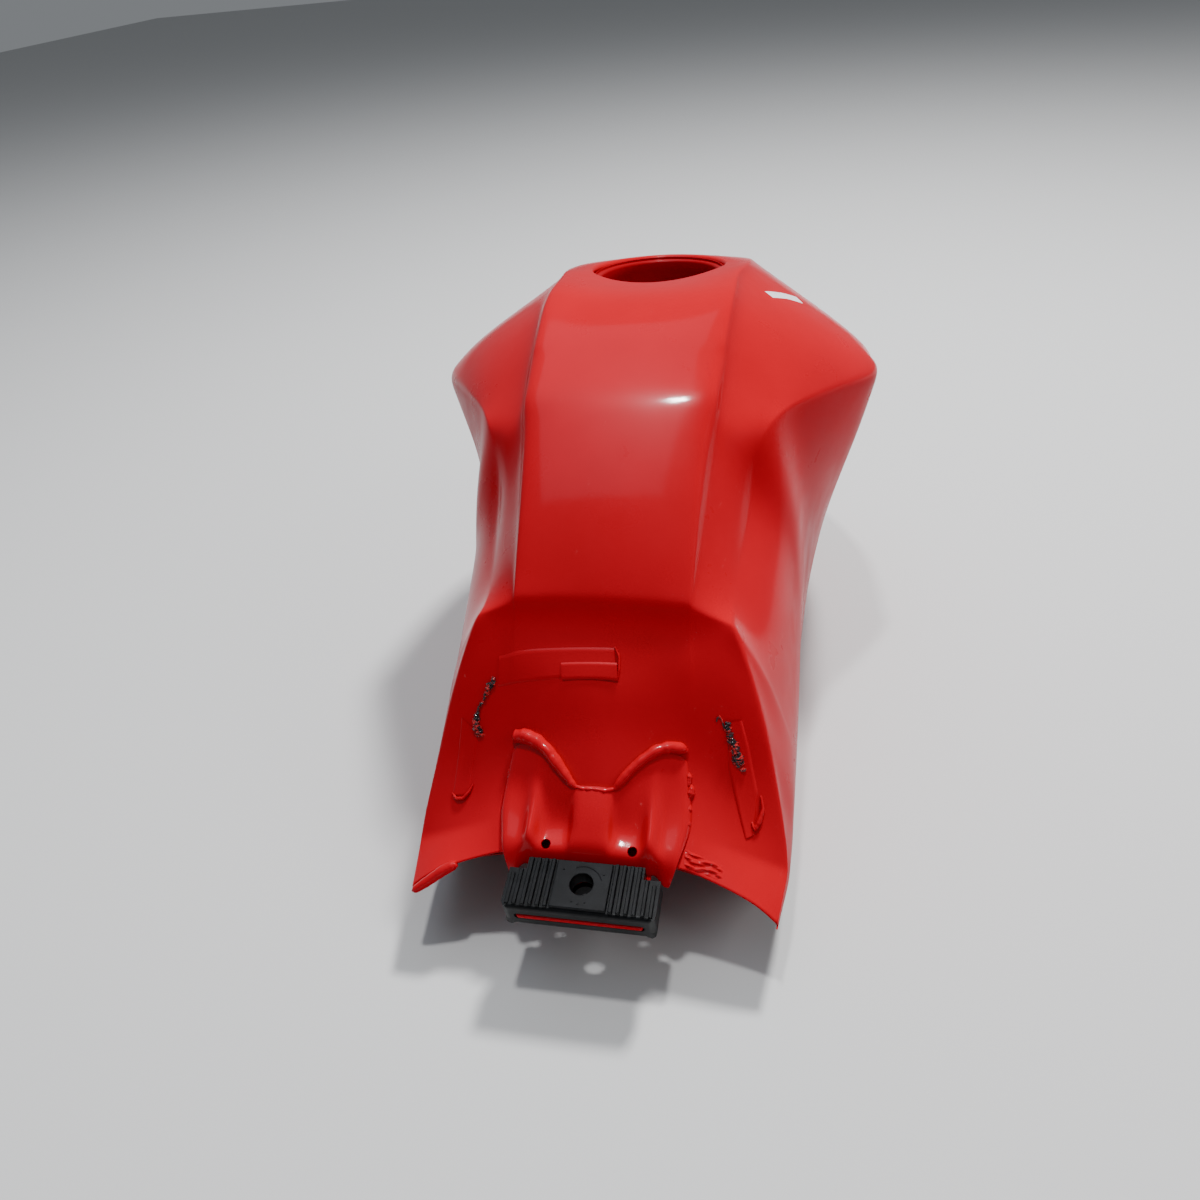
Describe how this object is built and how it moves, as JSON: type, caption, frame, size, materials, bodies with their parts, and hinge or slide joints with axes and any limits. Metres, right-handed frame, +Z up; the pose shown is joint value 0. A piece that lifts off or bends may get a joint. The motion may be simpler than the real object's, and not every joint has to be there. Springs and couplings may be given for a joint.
{
  "type": "motorcycle fuel tank",
  "caption": "Pressed steel motorcycle fuel tank with a raised centre panel, knee recesses, round filler recess, frame tunnel and a rubber-cushioned rear mounting tongue.",
  "frame": {"origin": "middle of the tank's box at the height of the lower edges of its skirts", "axes": "+X to the bike's right, +Y forwards, +Z up"},
  "size_m": [0.332, 0.5898, 0.321],
  "materials": {
    "red_paint": "gloss",
    "black_rubber": "satin",
    "bare_steel": "dull",
    "zinc_steel": "zinc plated",
    "cast_alloy": "as cast",
    "brass_tube": "plain",
    "gasket_rubber": "matt",
    "lever_plastic": "matt",
    "strainer_plastic": "matt",
    "float_plastic": "matt"
  },
  "bodies": {
    "tank": {"left_shell": "red_paint", "right_shell": "red_paint", "tunnel_plate": "red_paint", "filler_cup": "red_paint", "filler_neck": "bare_steel", "recess_drain_pipe": "bare_steel", "front_mount_left": "red_paint", "front_mount_right": "red_paint", "rear_bracket": "red_paint", "bracket_welds": "red_paint", "rear_cushion": "black_rubber", "cock_boss": "bare_steel", "cock_gasket": "gasket_rubber", "cock_body": "cast_alloy", "cock_lever_plate": "zinc_steel", "cock_screws": "zinc_steel", "cock_bolts": "zinc_steel", "cock_standpipe": "brass_tube", "cock_strainer": "strainer_plastic", "sender_gasket": "gasket_rubber", "sender_plate": "zinc_steel", "sender_studs": "zinc_steel", "sender_nuts": "zinc_steel", "sender_stem": "zinc_steel"},
    "cock_lever": {"cock_lever": "lever_plastic"},
    "float": {"float_arm": "zinc_steel", "sender_float": "float_plastic"}
  },
  "joints": [
    {"name": "cock_lever_turn", "type": "hinge", "parent": "tank", "child": "cock_lever", "pos_m": [-0.093, -0.1, 0.025], "axis": [1, 0, 0], "range_deg": [0, 180]},
    {"name": "float_swing", "type": "hinge", "parent": "tank", "child": "float", "pos_m": [0.0775, -0.01, 0.106], "axis": [1, 0, 0], "range_deg": [0, 62]}
  ]
}
